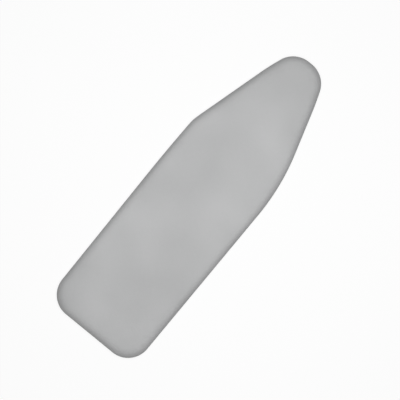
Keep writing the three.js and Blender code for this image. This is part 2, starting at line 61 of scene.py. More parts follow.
# Boxes of the solids that the pieces are built around
COVER_LOW, COVER_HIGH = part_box("top_cover")
FELT_LOW, FELT_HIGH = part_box("felt_pad")
FOAM_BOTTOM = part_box("foam_pad")[0].z
BINDING_LOW, BINDING_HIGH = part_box("hem_binding")
LOCK_LOW, LOCK_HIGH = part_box("cord_lock_body")
SPRING_LOW, SPRING_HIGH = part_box("cord_lock_spring")
BELL_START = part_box("cord_end")[0].x
LABEL_LOW, LABEL_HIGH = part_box("care_label")

# Outline of the fitted cover, seen from above: the left side is +Y
TAIL_X = COVER_LOW.x
NOSE_X = COVER_HIGH.x
HALF_WIDTH = 194.8 * MM
TAIL_HALF_WIDTH = 189.8 * MM
TAIL_RADIUS = 86 * MM
BELLY_FROM_SHOULDER = 161 * MM
BELLY_RADIUS = 6000 * MM
LEFT_SHOULDER_FROM_NOSE = 409 * MM
LEFT_SHOULDER_HALF_WIDTH = 191.5 * MM
LEFT_SHOULDER_RADIUS = 163 * MM
RIGHT_SHOULDER_FROM_NOSE = 397 * MM
RIGHT_SHOULDER_RADIUS = 823 * MM
TAPER_FROM_NOSE = 104 * MM
TAPER_HALF_WIDTH = 105.6 * MM
TAPER_RADIUS = 800 * MM
NOSE_HALF_WIDTH = 67.4 * MM
NOSE_RADIUS = 88 * MM
MOUTH_WIDTH = 50 * MM
FINE_STEP = 0.5 * MM

# Section of the cloth, from the crown over the rolled edge to the hem
COVER_TOP = COVER_HIGH.z
HEM_MIDDLE = (BINDING_LOW.z + BINDING_HIGH.z) / 2
CROWN_INSET = 55 * MM
ROLL_FLATNESS = 3.5
SIDE_HEIGHT = 18 * MM
ROLL_HEIGHT = COVER_TOP - SIDE_HEIGHT
TURN_WIDTH = 9 * MM
TURN_HEIGHT = 8.8 * MM
CLOTH_END = 60.7 * MM
CLOTH_THICKNESS = 0.55 * MM
CLOTH_FIT = 0.3 * MM
HEM_LEVEL = HEM_MIDDLE - CLOTH_THICKNESS / 2
HEM_EASE = 1.08
ROLL_ROWS = 12
TURN_ROWS = 5
FLANGE_ROWS = 15
SPINE_HALF_LENGTH = 420 * MM
SPINE_HALF_WIDTH = 12 * MM
FACE_SHARES = (1, 0.75, 0.5, 0.3, 0.14, 0)

# Waves of the padded face: their lengths and their rises, in millimetres
SWELLS = ((310, 0.16), (210, 0.13), (140, 0.1), (90, 0.07), (55, 0.04))
SWELL_HEADINGS = 3

# Gathers of the cloth: the cord draws in what the corners have to spare, and it slides along the cord
HEM_SAMPLES = 4800
GATHER_SPREAD = 46 * MM
GATHER_EVEN = 0.2
GATHER_CLOTH = 2.2 * MM
STRAIGHT_CLOTH = 5 * MM
CORNER_FOLD = 15 * MM
STRAIGHT_FOLD = 30 * MM
CORNER_WAVE = 0.55 * MM
STRAIGHT_WAVE = 0.15 * MM
WANDER_WAVES = 14
FOLD_WANDER = 0.9
FOLD_WAVES = (25, 90)
FOLD_GUESS = 2.6 * MM
SECOND_FOLD = 0.3
SECOND_FOLD_LAG = 1
TURN_LIMIT = 0.9 * MM
FLANGE_LIMIT = 3.6 * MM
HEM_LIMIT = 0.9 * MM
LIMIT_ROWS = 3
FOLD_FLOOR = 0.6 * MM
FOLD_CEILING = 9.8 * MM
HELD_AT_SIDE = (1, 1, 0.6, 0.25, 0.08)
HELD_AT_HEM = 2
SETTLE_SCALE = 10
SETTLE_FRAMES = 24
FABRIC = {
    "quality": 6, "mass": 0.3, "air_damping": 4, "tension_stiffness": 15,
    "compression_stiffness": 12, "shear_stiffness": 3, "bending_stiffness": 0.6,
}

# Felt pad
FELT_INSET = FELT_LOW.x - TAIL_X
FELT_SHOULDER = 6 * MM
FELT_HEEL = 1 * MM
SHOULDER_STEPS = 6
HEEL_STEPS = 4

# Binding tape and the cord that it carries
LEAF_START = 57 * MM
LEAF_END = 61.3 * MM
LEAF_GAP = 0.45 * MM
LEAF_ROUND = 0.25 * MM
TAPE_THICKNESS = 0.85 * MM
TAPE_STEP = 1.5 * MM
TUBE_HALF_WIDTH = 5 * MM
TUBE_HALF_HEIGHT = (BINDING_HIGH.z - BINDING_LOW.z) / 2
TUBE_SQUARENESS = 0.75
TUBE_SIDES = 16
CHANNEL_HALF_WIDTH = 2.3 * MM
CHANNEL_HALF_HEIGHT = 1.9 * MM
WINDOW_LENGTH = 36 * MM
RUCHE_DEPTHS = (0.05, 0.14)
RUCHE_WANDER = 1.2
RUCHE_WAVES = (60, 200)
RUCHE_LOBES = 3
RUCHE_UNEVEN = 0.4
CORD_INSET = 66 * MM
CORD_RADIUS = 1.5 * MM
CORD_OFFSET = 1.65 * MM
CORD_BEND = 12 * MM
CORD_SIDES = 12
CORD_STEP = 3 * MM
CORD_POCKET = 8.7 * MM
LOCK_HEIGHT = (LOCK_LOW.z + LOCK_HIGH.z) / 2
LEAD_STEPS = 12
BEND_STEPS = 14

# Stitches: the profile gives a place along the thread and its width there, as shares of length and radius
Stitching = namedtuple("Stitching", "pitch length radius")
HEM_STITCHING = Stitching(pitch=3.6 * MM, length=2.6 * MM, radius=0.26 * MM)
STRAP_STITCHING = Stitching(pitch=3 * MM, length=2.3 * MM, radius=0.2 * MM)
STITCH_INSET = 58.7 * MM
STITCH_SIDES = 6
STITCH_SINK = 1.6
STITCH_PROFILE = ((-0.5, 0.3), (-0.36, 0.85), (0, 1), (0.36, 0.85), (0.5, 0.3))

# Elastic straps between the cord on the left and a hook's bar on the right
STRAPS = ("tail", "mid", "nose")
STRAP_WIDTH = 25 * MM
STRAP_COLUMNS = 9
STRAP_STEP = 4 * MM
SELVEDGE = 0.4 * MM
WEBBING = 0.75 * MM
LAYER = 0.4 * MM
LOOP_RADIUS = 2.28 * MM
LOOP_OPENING = math.radians(52)
LOOP_STEPS = 27
NECK_LENGTH = 7 * MM
NECK_PULL = 0.4
NECK_STEPS = 7
SEWN_LENGTH = 32 * MM
SEWN_STEPS = 12
SEAM_NEAR = 9 * MM
SEAM_FAR = 27 * MM
SEAM_HALF_WIDTH = 9 * MM
SEAM_LINES = ((0, 1), (1, 2), (2, 3), (3, 0), (0, 2), (1, 3))

# Moulded parts and the lock's spring
HOOK_EDGE = 0.5 * MM
LOCK_EDGE = 0.4 * MM
SPRING_TURNS = 3.5
SPRING_WIRE = 0.3 * MM
SPRING_STEPS = 24
SPRING_SIDES = 8

# Blank label, which curls a little
LABEL_ROWS = 22
LABEL_COLUMNS = 14
LABEL_HALF_THICKNESS = 0.22 * MM
LABEL_REACH = 0.995
LABEL_RISE = 1.9 * MM
LABEL_CURVE = 2.2
LABEL_DROOP = 1.2 * MM

# Camera, floor and light: lengths in metres
CAMERA_HEIGHT = 6
FRAME_WIDTH = 1.386
PHOTO_SIZE = 400
COVER_PIXEL = (199.8, 198.2)
COVER_HEADING = math.radians(50.66)
FLOOR_HALF = 15
FLOOR_COLOUR = (0.98, 0.98, 0.98, 1)
FLOOR_GLOW = 0.88
ROOM_COLOUR = (1, 1, 1, 1)
ROOM_LIGHT = 0.2


def blend(low, high, share):
    return low + (high - low) * share


def smooth(share):
    share = np.clip(share, 0, 1)
    return share * share * (3 - 2 * share)


def unit(vectors):
    return vectors / np.linalg.norm(vectors, axis=-1, keepdims=True)


def joined(*values):
    """Arrays side by side, as the coordinates of points are."""
    return np.stack(np.broadcast_arrays(*values), -1)


def travel(points):
    """Distance along a line of points."""
    steps = np.linalg.norm(np.diff(points, axis=0), axis=1)
    return np.concatenate(([0], np.cumsum(steps)))


def points_at(places, marks, points):
    """Points at places along a line, from the points that it has at the marks."""
    return joined(*(np.interp(places, marks, values) for values in points.T))


def adjusted(thing, **settings):
    """The same thing, with some of its properties set."""
    for name, value in settings.items():
        setattr(thing, name, value)
    return thing


def added(name, data):
    """A new object in the scene."""
    made = bpy.data.objects.new(name, data)
    SCENE.collection.objects.link(made)
    return made


# Section of the cloth and the place of its rows in the sheet that it is cut from
def roll_point(angle, depth=0):
    """Inset and height on the padded roll: angle 0 is the flat of the face, a right angle is the side."""
    inset = CROWN_INSET - (CROWN_INSET - depth) * math.sin(angle) ** (2 / ROLL_FLATNESS)
    return inset, SIDE_HEIGHT + (ROLL_HEIGHT - depth) * math.cos(angle)


def turn_point(angle):
    """Inset and height where the cloth turns under: angle 0 is the side, a right angle faces down."""
    return TURN_WIDTH * (1 - math.cos(angle)), SIDE_HEIGHT - TURN_HEIGHT * math.sin(angle)


def cloth_section():
    """Inset and height of each row of the cloth, from the crown to the hem."""
    rows = [roll_point(angle) for angle in np.linspace(0, math.pi / 2, ROLL_ROWS + 1)]
    rows += [turn_point(angle) for angle in np.linspace(0, math.pi / 2, TURN_ROWS + 1)[1:]]
    turn_inset, turn_height = rows[-1]
    for share in np.linspace(0, 1, FLANGE_ROWS + 1)[1:]:
        height = blend(turn_height, HEM_LEVEL, smooth(share * HEM_EASE))
        rows.append((blend(turn_inset, CLOTH_END, share), height))
    return np.array(rows)


SECTION = cloth_section()
CUT_INSETS = CROWN_INSET - travel(SECTION)
CUT_END = CUT_INSETS[-1]

# Close points round the outline
Corner = namedtuple("Corner", "x y radius")
LEFT_SHOULDER_X = NOSE_X - LEFT_SHOULDER_FROM_NOSE
CORNERS = [
    Corner(TAIL_X, -MOUTH_WIDTH / 2, 0),
    Corner(TAIL_X, -TAIL_HALF_WIDTH, TAIL_RADIUS),
    Corner(NOSE_X - RIGHT_SHOULDER_FROM_NOSE, -HALF_WIDTH, RIGHT_SHOULDER_RADIUS),
    Corner(NOSE_X - TAPER_FROM_NOSE, -TAPER_HALF_WIDTH, TAPER_RADIUS),
    Corner(NOSE_X, -NOSE_HALF_WIDTH, NOSE_RADIUS),
    Corner(NOSE_X, NOSE_HALF_WIDTH, NOSE_RADIUS),
    Corner(NOSE_X - TAPER_FROM_NOSE, TAPER_HALF_WIDTH, TAPER_RADIUS),
    Corner(LEFT_SHOULDER_X, LEFT_SHOULDER_HALF_WIDTH, LEFT_SHOULDER_RADIUS),
    Corner(LEFT_SHOULDER_X - BELLY_FROM_SHOULDER, HALF_WIDTH, BELLY_RADIUS),
    Corner(TAIL_X, TAIL_HALF_WIDTH, TAIL_RADIUS),
    Corner(TAIL_X, MOUTH_WIDTH / 2, 0),
]


def turned(vector, angle):
    cosine, sine = math.cos(angle), math.sin(angle)
    return np.array((cosine * vector[0] - sine * vector[1], sine * vector[0] + cosine * vector[1]))


def corner_arc(index):
    """Start of a rounded corner, its middle, its turn and the inward direction at its start."""
    behind, here, ahead = (np.array(CORNERS[(index + k) % len(CORNERS)][:2]) for k in (-1, 0, 1))
    before = unit(here - behind)
    after = unit(ahead - here)
    turn = math.atan2(before[0] * after[1] - before[1] * after[0], before @ after)
    radius = CORNERS[index].radius
    start = here - before * radius * math.tan(abs(turn) / 2)
    inward = turned(before, math.pi / 2)
    return start, start + inward * math.copysign(radius, turn), turn, inward


def fine_outline():
    """Points counter-clockwise from the right end of the mouth, and the inward direction at each."""
    arcs = [corner_arc(k) for k in range(len(CORNERS))]
    places, inward = [], []
    for k, (start, centre, turn, facing) in enumerate(arcs):
        steps = math.ceil(abs(turn) * CORNERS[k].radius / FINE_STEP)
        for angle in np.linspace(0, turn, steps + 1):
            places.append(centre + turned(start - centre, angle))
            inward.append(turned(facing, angle))
        last = places[-1]
        run = arcs[(k + 1) % len(CORNERS)][0] - last
        count = max(1, math.ceil(np.linalg.norm(run) / FINE_STEP))
        for share in np.arange(1, count) / count:
            places.append(last + run * share)
            inward.append(turned(unit(run), math.pi / 2))
    return np.array(places), np.array(inward)


FINE_PLACES, FINE_INWARD = fine_outline()
MOUTH_LEFT = int(np.argmin(np.linalg.norm(FINE_PLACES - np.array(CORNERS[-1][:2]), axis=1)))


def step_lengths(rings):
    """Distance from each point of a ring to the next."""
    return np.linalg.norm(np.roll(rings, -1, axis=-2) - rings, axis=-1)


def distance_round(inset):
    """Distance round the ring at an inset: at each fine point, and in all."""
    ends = np.cumsum(step_lengths(FINE_PLACES + FINE_INWARD * inset))
    return np.append(0, ends[:-1]), ends[-1]


def laps(values, length=0):
    """Values round the cover with the lap before and the lap after."""
    return np.concatenate((values - length, values, values + length))


# How the spare cloth of the corners spreads along the hem
HEM_TRAVEL, HEM_LENGTH = distance_round(CORD_INSET)
CUT_TRAVEL, CUT_LENGTH = distance_round(CUT_END)
HEM_LAPS = laps(HEM_TRAVEL, HEM_LENGTH)
CUT_LAPS = laps(CUT_TRAVEL, CUT_LENGTH)
MOUTH_PLACE = HEM_TRAVEL[MOUTH_LEFT]


def spread_cloth(inset, share):
    """Even places round the ring at an inset, and the cut cloth up to each when it has slid by a share."""
    ring, length = distance_round(inset)
    even = np.arange(HEM_SAMPLES) * length / HEM_SAMPLES
    rate = CUT_LENGTH / length
    uneven = np.interp(even, laps(ring, length), CUT_LAPS) - rate * even
    reach = np.minimum(even, length - even)
    kernel = np.exp(-0.5 * (reach / blend(even[1], GATHER_SPREAD, share)) ** 2)
    spread = np.fft.ifft(np.fft.fft(uneven) * np.fft.fft(kernel / kernel.sum())).real
    return laps(even, length), laps(rate * even + (1 - GATHER_EVEN * share) * spread, CUT_LENGTH)


EVEN_LAPS, CLOTH_LAPS = spread_cloth(CORD_INSET, 1)
SAMPLE = HEM_LENGTH / HEM_SAMPLES
EVEN_HEM = EVEN_LAPS[HEM_SAMPLES:2 * HEM_SAMPLES]
CROWDING = np.gradient(CLOTH_LAPS, SAMPLE)[HEM_SAMPLES:2 * HEM_SAMPLES]
GATHER = smooth((CROWDING - 1) / (CROWDING.max() - 1))


# Stations: lines of the cloth from the crown to the hem, closer where it is gathered
def station_cloth():
    """Cut length round the edge of the sheet at each station."""
    ends = np.cumsum(CROWDING * SAMPLE / blend(STRAIGHT_CLOTH, GATHER_CLOTH, np.sqrt(GATHER)))
    marks = laps(np.append(0, ends[:-1]), ends[-1])
    count = math.ceil(ends[-1])
    return np.interp(ends[-1] * np.arange(count) / count, marks, CLOTH_LAPS)


STATION_CLOTH = station_cloth()
OWN_HEM = np.interp(STATION_CLOTH, CUT_LAPS, HEM_LAPS)


def slid_hem(inset, share):
    """Where the stations of the ring at an inset lie along the hem, when they have slid by a share."""
    even, cloth = spread_cloth(inset, share)
    ring, length = distance_round(inset)
    return np.interp(np.interp(STATION_CLOTH, cloth, even), laps(ring, length), HEM_LAPS)


def beside_hem(place, inset, height):
    """Points at places round the hem, at an inset from the outline and at a height."""
    edge = points_at(place, HEM_LAPS, laps(FINE_PLACES))
    inward = unit(points_at(place, HEM_LAPS, laps(FINE_INWARD)))
    plan = edge + inward * np.expand_dims(inset, -1)
    return joined(*plan.T, height)


def at(inset, height):
    """A ring of points, one for each station, at an inset from the outline and at a height."""
    return beside_hem(OWN_HEM, inset, height)


# Folds round the hem
def wander(least, most):
    """A smooth random curve round the hem, about 1 high, made of waves of whole counts."""
    share = EVEN_HEM / HEM_LENGTH
    total = np.zeros(HEM_SAMPLES)
    for _ in range(WANDER_WAVES):
        total += np.sin(math.tau * (CHANCE.integers(least, most) * share + CHANCE.random()))
    return total / math.sqrt(WANDER_WAVES / 2)


def fold_turns():
    """Folds counted along the hem, a whole number in all."""
    turns = np.cumsum(CROWDING * SAMPLE / blend(STRAIGHT_FOLD, CORNER_FOLD, np.sqrt(GATHER)))
    return turns * (round(turns[-1]) / turns[-1])


FOLD_TURNS = fold_turns()
FOLD_PHASE = math.tau * FOLD_TURNS + FOLD_WANDER * wander(*FOLD_WAVES)
PHASE_LAPS = laps(FOLD_PHASE, math.tau * round(FOLD_TURNS[-1]))
HEM_WAVE = -blend(STRAIGHT_WAVE, CORNER_WAVE, GATHER) * np.sin(FOLD_PHASE)
RUCHE_PHASE = 2 * FOLD_PHASE + RUCHE_WANDER * wander(*RUCHE_WAVES)
RUCHE = blend(*RUCHE_DEPTHS, GATHER) * (1 + np.sin(RUCHE_PHASE)) / 2


def round_hem(values, place):
    """Values that are known at even places round the hem, at any places round it."""
    return np.interp(place, EVEN_LAPS, laps(values))


def swell(x, y):
    """Soft rise and fall of the padded face."""
    total = np.zeros_like(x)
    for length, rise in SWELLS:
        for _ in range(SWELL_HEADINGS):
            heading, start = math.tau * CHANCE.random(2)
            along = x * math.cos(heading) + y * math.sin(heading)
            total += rise * MM * np.sin(math.tau * along / (length * MM) + start)
    return total


# Meshes from grids of points
def grid_faces(rows, columns, rows_closed=False, columns_closed=False):
    row = np.arange(rows if rows_closed else rows - 1)[:, None]
    column = np.arange(columns if columns_closed else columns - 1)[None, :]
    next_row, next_column = (row + 1) % rows, (column + 1) % columns
    corners = ((row, column), (next_row, column), (next_row, next_column), (row, next_column))
    return joined(*(r * columns + c for r, c in corners)).reshape(-1, len(corners))


def patch(points, uv, rows_closed=False, first_cap=(), last_cap=()):
    """Faces over rows of rings; uv has one more column, and one more row where the rows close too.

    A cap is a list of faces over the first or last row, facing out of the near side of the first row.
    """
    rows, columns = points.shape[:2]
    loops = grid_faces(rows, columns, rows_closed, columns_closed=True).tolist()
    corners = [uv.reshape(-1, 2)[grid_faces(*uv.shape[:2]).ravel()]]
    for face in first_cap:
        loops.append(list(face))
        corners.append(uv[0, list(face)])
    for face in last_cap:
        loops.append([(rows - 1) * columns + k for k in reversed(face)])
        corners.append(uv[-1, list(reversed(face))])
    return points.reshape(-1, 3), loops, np.vstack(corners)


def tube(points, uv):
    """A patch with one face over each end."""
    end = [range(points.shape[1])]
    return patch(points, uv, first_cap=end, last_cap=end)


def tube_rows(path, across, up, radius, sides):
    """Rows of points round a path. Across, up and the way along it are a right-handed set."""
    angles = math.tau * np.arange(sides)[::-1, None] / sides
    spokes = np.cos(angles) * np.expand_dims(across, -2) + np.sin(angles) * np.expand_dims(up, -2)
    return path[:, None] + radius * spokes


def strip_uv(lengthways, roundways):
    """Coordinates in metres from distances along a strip and across or round it."""
    return joined(lengthways[:, None], roundways)


def tube_uv(path, around, sides):
    """Distances along and round a tube, with the seam's column twice."""
    return strip_uv(travel(path), np.linspace(0, around, sides + 1))


def closed_uv(rows):
    """Plan coordinates of rows of rings, with the first column again at the end."""
    flat = np.array(rows)[:, :, :2]
    return np.concatenate((flat, flat[:, :1]), axis=1)


def infill(ring):
    """Triangles from side to side of a long rounded ring that starts at its tail."""
    faces = []
    near, far = 0, len(ring) - 1
    while far - near > 1:
        if ring[near + 1, 0] <= ring[far - 1, 0]:
            faces.append((near, near + 1, far))
            near += 1
        else:
            faces.append((near, far - 1, far))
            far -= 1
    return faces


def piece(name, patches, looks, body, sharp=50):
    """One object from several patches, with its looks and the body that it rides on."""
    points, faces, corners, start = [], [], [], 0
    for places, loops, uv in patches:
        points.append(places)
        faces.extend([start + k for k in loop] for loop in loops)
        corners.append(uv)
        start += len(places)
    mesh = bpy.data.meshes.new(name)
    mesh.from_pydata(np.vstack(points).tolist(), [], faces)
    layer = mesh.uv_layers.new(name="metres")
    layer.data.foreach_set("uv", np.vstack(corners).astype(np.float32).ravel())
    mesh.shade_smooth()
    mesh.set_sharp_from_angle(angle=math.radians(sharp))
    for look in looks:
        mesh.materials.append(look)
    made = added(name, mesh)
    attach(made, body)
    return made


# Shader nodes
class Graph:
    """The nodes of a material or of the world, put together one by one."""

    def __init__(self, owner):
        owner.use_nodes = True
        self.tree = owner.node_tree

    def node(self, kind, *inputs, **settings):
        made = adjusted(self.tree.nodes.new("ShaderNode" + kind), **settings)
        for socket, value in zip(made.inputs, inputs):
            self.feed(socket, value)
        return made

    def feed(self, socket, value):
        if isinstance(value, bpy.types.NodeSocket):
            self.tree.links.new(value, socket)
        elif value is not None:
            socket.default_value = value

    def fill(self, inputs, values):
        for name, value in values.items():
            self.feed(inputs[name], value)

    def math(self, operation, first, second=None):
        return self.node("Math", first, second, operation=operation).outputs[0]

    def mix(self, factor, first, second):
        """A blend of two shaders, the second where the factor is 1."""
        return self.node("MixShader", factor, first, second).outputs[0]


class Surface(Graph):
    """A material with colour, roughness and bump."""

    def __init__(self, name, roughness, metallic=0, sheen=0):
        self.material = bpy.data.materials.new(name)
        super().__init__(self.material)
        self.shader = self.tree.nodes["Principled BSDF"].inputs
        self.fill(self.shader, {"Roughness": roughness, "Metallic": metallic, "Sheen Weight": sheen})

    def metres(self):
        """Coordinates along the cloth, in metres."""
        return self.node("UVMap", uv_map="metres").outputs["UV"]

    def place(self):
        """Coordinates in the frame, in metres."""
        return self.node("TexCoord").outputs["Object"]

    def scaled(self, vector, x, y, z=1):
        return self.node("VectorMath", vector, (x, y, z), operation="MULTIPLY").outputs["Vector"]

    def rotated(self, vector, angle):
        """Coordinates turned about the vertical."""
        return self.node("VectorRotate", vector, None, None, angle, rotation_type="Z_AXIS").outputs[0]

    def split(self, vector):
        made = self.node("SeparateXYZ", vector)
        return made.outputs["X"], made.outputs["Y"]

    def sum(self, *terms):
        total = terms[0]
        for term in terms[1:]:
            total = self.math("ADD", total, term)
        return total

    def times(self, value, factor):
        return self.math("MULTIPLY", value, factor)

    def texture(self, kind, **values):
        """Outputs of a texture, with values for its named inputs."""
        made = self.node("Tex" + kind)
        self.fill(made.inputs, values)
        return made.outputs

    def noise(self, vector, scale, detail):
        return self.texture("Noise", Vector=vector, Scale=scale, Detail=detail)["Fac"]

    def sine(self, value, period):
        return self.math("SINE", self.times(value, math.tau / period))

    def weave(self, vector, period):
        """Plain weave: threads that pass over and under in turn."""
        lengthways, crossways = self.split(vector)
        return self.times(self.sine(lengthways, 2 * period), self.sine(crossways, 2 * period))

    def swing(self, value, reach, middle=0):
        """A factor of about 0 to 1 brought to swing about a middle."""
        return self.math("ADD", self.times(self.math("SUBTRACT", value, 0.5), reach), middle)

    def colour(self, factor, dark, light):
        made = self.node("Mix", factor, data_type="RGBA")
        for socket, tone in zip([s for s in made.inputs if s.type == "RGBA"], (dark, light)):
            socket.default_value = (*tone, 1)
        result = next(s for s in made.outputs if s.type == "RGBA")
        self.feed(self.shader["Base Color"], result)

    def greys(self, factor, dark, light, warmth=0):
        """Neutral tones of linear levels, warmer above a warmth of 0 and cooler below."""
        tint = np.array((1 + warmth, 1, 1 - warmth))
        self.colour(factor, dark * tint, light * tint)

    def roughness(self, value):
        self.feed(self.shader["Roughness"], value)

    def bump(self, height, depth):
        made = self.node("Bump")
        self.fill(made.inputs, {"Strength": 1, "Distance": depth, "Height": height})
        self.feed(self.shader["Normal"], made.outputs["Normal"])


# Materials: their periods and depths are lengths, their scales count features in a metre
THREAD = 0.55 * MM
TWILL = 0.9 * MM
BRAID = 1.57 * MM
RIB = 1.25 * MM
PICK = 0.7 * MM
FLOAT = 0.4 * MM
FLOAT_SLANT = 0.2
FIBRE_HEADINGS = (0.2, 0.9, 1.7, 2.6)


def silver_cloth():
    look = Surface("silver_cloth", roughness=0.5, metallic=0.3)
    flat = look.metres()
    threads = look.weave(flat, THREAD)
    slubs = look.noise(look.scaled(flat, x=900, y=60), scale=1, detail=3)
    cross_slubs = look.noise(look.scaled(flat, x=60, y=900), scale=1, detail=3)
    # Large soft blotches in the base colour: partly uneven tone of the coating, partly painted sheen
    cloud = look.noise(flat, scale=4.6, detail=1)
    grain = look.noise(flat, scale=420, detail=2)
    tone = look.sum(
        look.swing(cloud, middle=0.5, reach=1.1),
        look.times(threads, 0.1),
        look.swing(slubs, reach=0.35),
        look.swing(cross_slubs, reach=0.35),
        look.swing(grain, reach=0.5),
    )
    look.greys(tone, dark=0.33, light=0.43, warmth=-0.006)
    look.roughness(look.swing(grain, middle=0.5, reach=0.25))
    look.bump(look.sum(threads, slubs, cross_slubs), depth=0.1 * MM)
    return look.material


def cotton_back():
    look = Surface("cotton_back", roughness=0.85, sheen=0.2)
    flat = look.metres()
    threads = look.weave(flat, THREAD)
    cloud = look.noise(flat, scale=40, detail=4)
    tone = look.sum(look.swing(cloud, middle=0.5, reach=0.8), look.times(threads, 0.12))
    look.greys(tone, dark=0.56, light=0.68, warmth=0.02)
    look.bump(threads, depth=0.12 * MM)
    return look.material


def needle_felt():
    look = Surface("needle_felt", roughness=0.95, sheen=0.35)
    flat = look.place()
    fibres = []
    for heading in FIBRE_HEADINGS:
        lie = look.scaled(look.rotated(flat, heading), x=110, y=900)
        fibres.append(look.noise(lie, scale=1, detail=4))
    matted = look.sum(*fibres)
    tufts = look.noise(flat, scale=420, detail=4)
    cloud = look.noise(flat, scale=18, detail=4)
    tone = look.sum(
        look.swing(matted, middle=-0.55, reach=0.7),
        look.swing(tufts, reach=0.7),
        look.swing(cloud, reach=0.6),
    )
    look.greys(tone, dark=0.5, light=0.74, warmth=0.015)
    look.bump(look.sum(matted, tufts), depth=0.3 * MM)
    return look.material


def open_foam():
    look = Surface("open_foam", roughness=0.95)
    flat = look.place()
    pores = look.texture("Voronoi", Vector=flat, Scale=800)["Distance"]
    cloud = look.noise(flat, scale=25, detail=3)
    tone = look.sum(look.swing(pores, middle=0.5, reach=0.7), look.swing(cloud, reach=0.5))
    look.colour(tone, dark=(0.66, 0.6, 0.44), light=(0.84, 0.78, 0.62))
    look.bump(pores, depth=0.5 * MM)
    return look.material


def binding_tape():
    look = Surface("binding_tape", roughness=0.8, sheen=0.25)
    flat = look.metres()
    twill = look.sine(look.sum(*look.split(flat)), TWILL)
    cloud = look.noise(flat, scale=60, detail=4)
    tone = look.sum(look.swing(cloud, middle=0.5, reach=0.8), look.times(twill, 0.16))
    look.greys(tone, dark=0.21, light=0.34, warmth=-0.03)
    look.bump(twill, depth=0.14 * MM)
    return look.material


def braided_cord():
    look = Surface("braided_cord", roughness=0.75, sheen=0.2)
    flat = look.metres()
    lengthways, roundways = look.split(flat)
    one = look.sine(look.math("ADD", lengthways, roundways), BRAID)
    other = look.sine(look.math("SUBTRACT", lengthways, roundways), BRAID)
    strands = look.times(one, other)
    fuzz = look.noise(flat, scale=700, detail=3)
    tone = look.sum(look.swing(fuzz, middle=0.5, reach=0.8), look.times(strands, 0.35))
    look.greys(tone, dark=0.5, light=0.78, warmth=0.025)
    look.bump(strands, depth=0.3 * MM)
    return look.material


def moulded_plastic():
    look = Surface("moulded_plastic", roughness=0.42)
    place = look.place()
    spark = look.noise(place, scale=2600, detail=2)
    cloud = look.noise(place, scale=120, detail=3)
    tone = look.sum(look.swing(cloud, middle=0.5, reach=0.7), look.swing(spark, reach=0.6))
    look.greys(tone, dark=0.028, light=0.052, warmth=-0.03)
    look.roughness(look.swing(spark, middle=0.42, reach=0.3))
    look.bump(spark, depth=0.03 * MM)
    return look.material


def spring_steel():
    look = Surface("spring_steel", roughness=0.3, metallic=1)
    drawn = look.noise(look.scaled(look.place(), x=3000, y=300, z=3000), scale=1, detail=2)
    look.greys(look.swing(drawn, middle=0.5, reach=1), dark=0.46, light=0.64)
    look.roughness(look.swing(drawn, middle=0.3, reach=0.25))
    look.bump(drawn, depth=0.01 * MM)
    return look.material


def elastic_webbing():
    look = Surface("elastic_webbing", roughness=0.8, sheen=0.2)
    flat = look.metres()
    lengthways, crossways = look.split(flat)
    ribs = look.sine(crossways, RIB)
    picks = look.sine(lengthways, PICK)
    cloud = look.noise(flat, scale=90, detail=3)
    tone = look.sum(
        look.swing(cloud, middle=0.5, reach=0.6),
        look.times(ribs, 0.22),
        look.times(picks, 0.12),
    )
    look.greys(tone, dark=0.66, light=0.88, warmth=0.02)
    look.bump(look.sum(ribs, look.times(picks, 0.5)), depth=0.16 * MM)
    return look.material


def label_satin():
    look = Surface("label_satin", roughness=0.45, sheen=0.1)
    flat = look.metres()
    lengthways, crossways = look.split(flat)
    floats = look.sine(look.sum(lengthways, look.times(crossways, FLOAT_SLANT)), FLOAT)
    cloud = look.noise(flat, scale=120, detail=3)
    tone = look.sum(look.swing(cloud, middle=0.5, reach=0.6), look.times(floats, 0.1))
    look.greys(tone, dark=0.74, light=0.86, warmth=0.01)
    look.bump(floats, depth=0.05 * MM)
    return look.material


def grey_thread():
    look = Surface("grey_thread", roughness=0.6, sheen=0.2)
    twist = look.noise(look.place(), scale=2400, detail=2)
    look.greys(look.swing(twist, middle=0.5, reach=1.4), dark=0.36, light=0.55)
    look.bump(twist, depth=0.05 * MM)
    return look.material


SILVER = silver_cloth()
COTTON = cotton_back()
FELT = needle_felt()
FOAM = open_foam()
TAPE = binding_tape()
CORD = braided_cord()
PLASTIC = moulded_plastic()
STEEL = spring_steel()
ELASTIC = elastic_webbing()
SATIN = label_satin()
SEWING = grey_thread()


# The cloth: its loose part runs from the side, the last row of the roll, to the hem
def face_rows(height):
    """Rings from a narrow oval along the spine of the cover out to its crown, at one height."""
    crown = at(CROWN_INSET, height)
    half_length, half_width = crown[:, :2].max(axis=0)
    heading = np.arctan2(crown[:, 1] / half_width, crown[:, 0] / half_length)
    spine = crown.copy()
    spine[:, 0] = SPINE_HALF_LENGTH * np.cos(heading)
    spine[:, 1] = SPINE_HALF_WIDTH * np.sin(heading)
    return [blend(crown, spine, share) for share in FACE_SHARES]


LOOSE_ROWS = SECTION[ROLL_ROWS:]
SLIDE_SHARES = np.maximum(0, np.arange(len(LOOSE_ROWS)) - TURN_ROWS) / FLANGE_ROWS
LOOSE_HEM = np.array([slid_hem(inset, share) for inset, share in zip(LOOSE_ROWS[:, 0], SLIDE_SHARES)])
SLID_HEM = LOOSE_HEM[-1]


def loose_rings(push):
    """Rings of the cloth from the side to the hem, pushed out of the smooth section by the folds."""
    slopes = unit(np.gradient(LOOSE_ROWS, axis=0))
    rings = []
    for place, (inset, height), (across, down), out in zip(LOOSE_HEM, LOOSE_ROWS, slopes, push):
        rings.append(beside_hem(place, inset + down * out, height - across * out))
    return np.array(rings)


